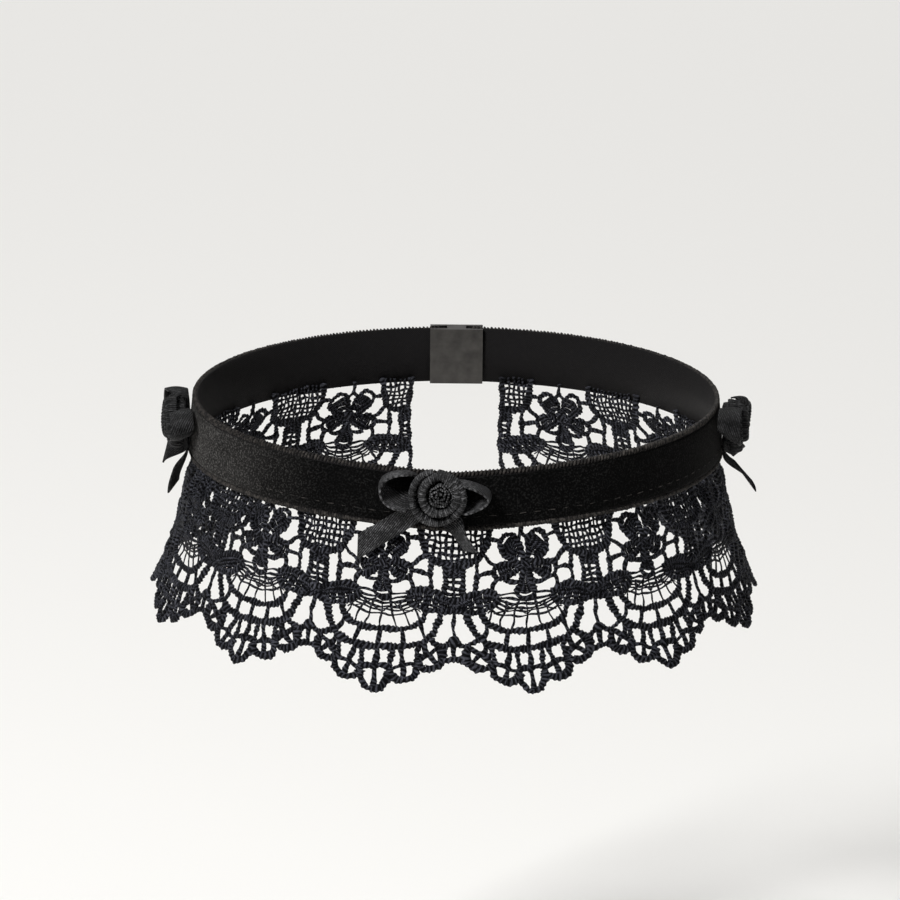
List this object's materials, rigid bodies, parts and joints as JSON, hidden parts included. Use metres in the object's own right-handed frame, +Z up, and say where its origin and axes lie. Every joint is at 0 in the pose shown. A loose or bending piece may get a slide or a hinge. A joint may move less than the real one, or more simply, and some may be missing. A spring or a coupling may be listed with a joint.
{
  "type": "choker necklace",
  "caption": "Choker necklace: velvet ribbon band with a scalloped guipure lace edging, three ribbon bows with rolled roses, and a plain back clasp",
  "frame": {"origin": "middle of the neck opening, level with half the band's height, at the mount neck", "axes": "+Z up along the neck, the front bow faces -Y, +X is the wearer's left"},
  "size_m": [0.1356, 0.1358, 0.0491],
  "materials": {
    "velvet": "black velvet pile with corded selvedges",
    "lace": "black wound and stitched guipure cord",
    "ribbon": "black grosgrain ribbon with a soft sheen",
    "metal": "dark plated metal, lightly brushed"
  },
  "bodies": {
    "root": {"velvet_band": "velvet", "lace_trim": "lace", "front_bow": "ribbon", "front_rose": "ribbon", "left_bow": "ribbon", "left_rose": "ribbon", "right_bow": "ribbon", "right_rose": "ribbon", "back_clasp": "metal"}
  },
  "joints": []
}
